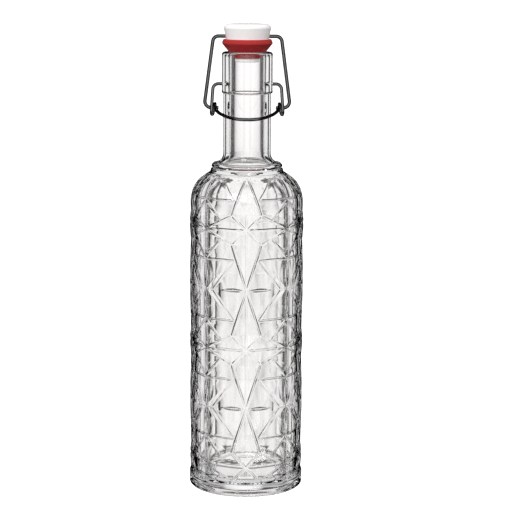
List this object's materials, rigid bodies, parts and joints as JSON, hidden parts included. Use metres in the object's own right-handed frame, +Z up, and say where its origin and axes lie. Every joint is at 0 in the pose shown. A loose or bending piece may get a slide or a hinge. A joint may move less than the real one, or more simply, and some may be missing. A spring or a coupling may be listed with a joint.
{
  "type": "swing top bottle",
  "caption": "Tall clear glass bottle with a star-faceted body and a wire-held swing top stopper that levers open from a sealed mouth.",
  "frame": {"origin": "centre of the base, on the standing plane", "axes": "+Z up along the bottle's axis, -Y to the front where the lever's bow lies, +X to the viewer's right"},
  "size_m": [0.082, 0.082, 0.3334],
  "materials": {
    "clear_glass": "clear, pressed facets",
    "white_plastic": "smooth gloss",
    "red_rubber": "satin",
    "steel_wire": "polished"
  },
  "bodies": {
    "bottle": {"glass_bottle": "clear_glass"},
    "lever": {"lever_wire": "steel_wire"},
    "bail": {"bail_wire": "steel_wire"},
    "stopper": {"stopper": "white_plastic", "sealing_ring": "red_rubber"}
  },
  "joints": [
    {"name": "lever_pivot", "type": "hinge", "parent": "bottle", "child": "lever", "pos_m": [0, 0, 0.2906], "axis": [-1, 0, 0], "range_deg": [0, 165]},
    {"name": "bail_pivot", "type": "hinge", "parent": "lever", "child": "bail", "pos_m": [0, 0.0012, 0.2737], "axis": [-1, 0, 0], "range_deg": [-109.6, 0]},
    {"name": "stopper_swivel", "type": "hinge", "parent": "bail", "child": "stopper", "pos_m": [0, 0, 0.3239], "axis": [-1, 0, 0], "range_deg": [-55.7, 0]}
  ],
  "couplings": [
    {"joint": "bail_pivot", "follows": "lever_pivot", "ratio": -0.66335},
    {"joint": "stopper_swivel", "follows": "lever_pivot", "ratio": -0.33665}
  ]
}
